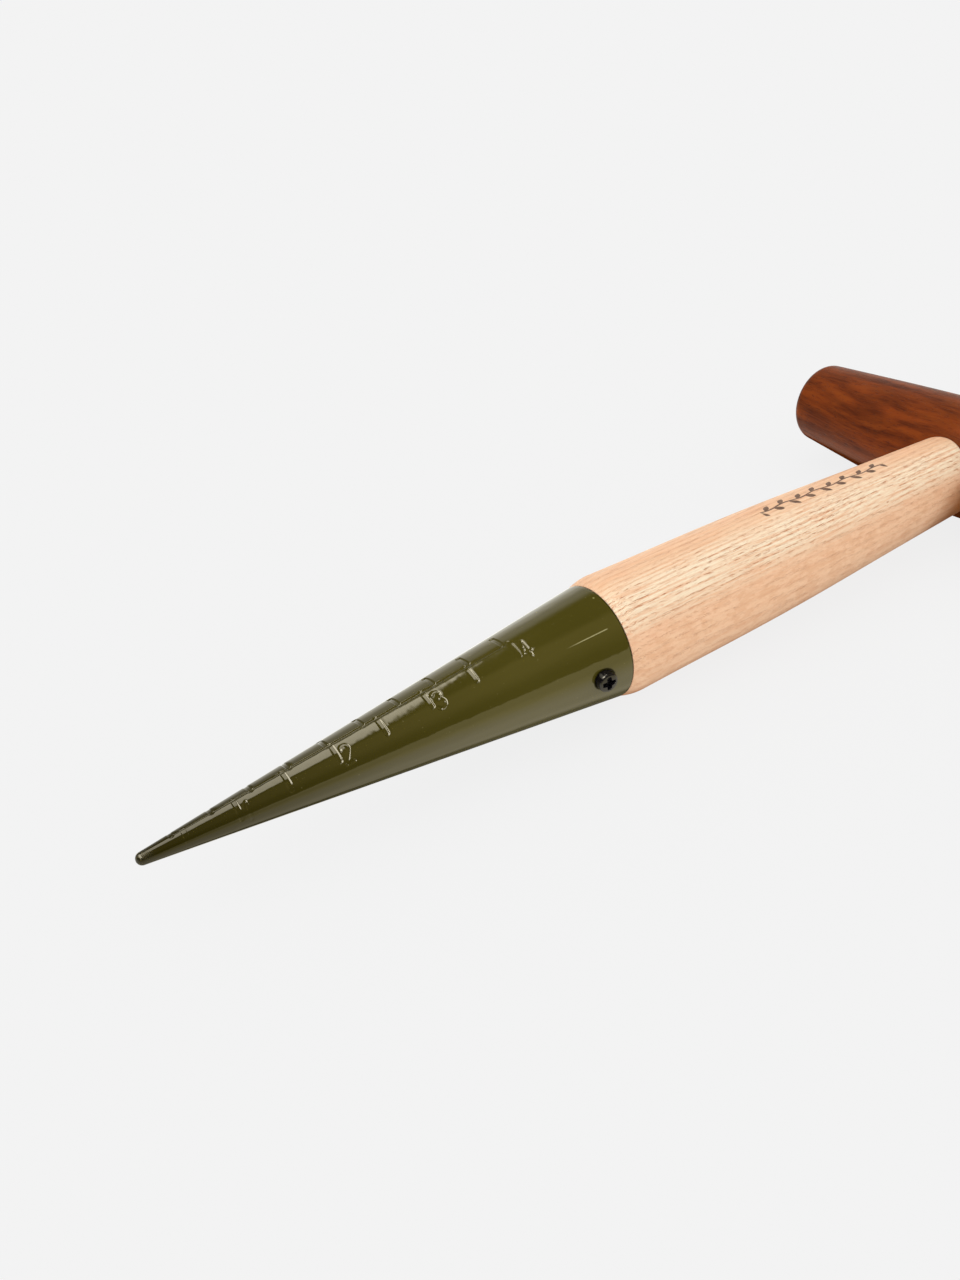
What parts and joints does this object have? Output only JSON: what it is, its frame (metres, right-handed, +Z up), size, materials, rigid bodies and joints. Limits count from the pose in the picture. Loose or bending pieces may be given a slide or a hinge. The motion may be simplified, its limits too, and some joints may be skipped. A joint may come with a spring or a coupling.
{
  "type": "bulb planter",
  "caption": "T-handled dibber: pointed steel cone with a stamped depth scale, turned ash stem and walnut cross grip.",
  "frame": {"origin": "the point of the steel cone, on the tool's axis", "axes": "the tool lies flat: +X along the tool from the point to the grip, +Y along the grip, +Z up, the side that carries the depth scale"},
  "size_m": [0.2871, 0.1256, 0.0344],
  "materials": {
    "olive_enamel": "glossy olive-green powder coat on steel",
    "ash": "pale ash, turned and oiled, satin",
    "walnut": "dark walnut, turned and oiled, satin",
    "black_steel": "black phosphated screw, semi-matt"
  },
  "bodies": {
    "root": {"steel_cone": "olive_enamel", "cone_screw": "black_steel", "ash_stem": "ash", "walnut_grip": "walnut", "grip_screw": "black_steel", "grip_plug": "walnut"}
  },
  "joints": []
}
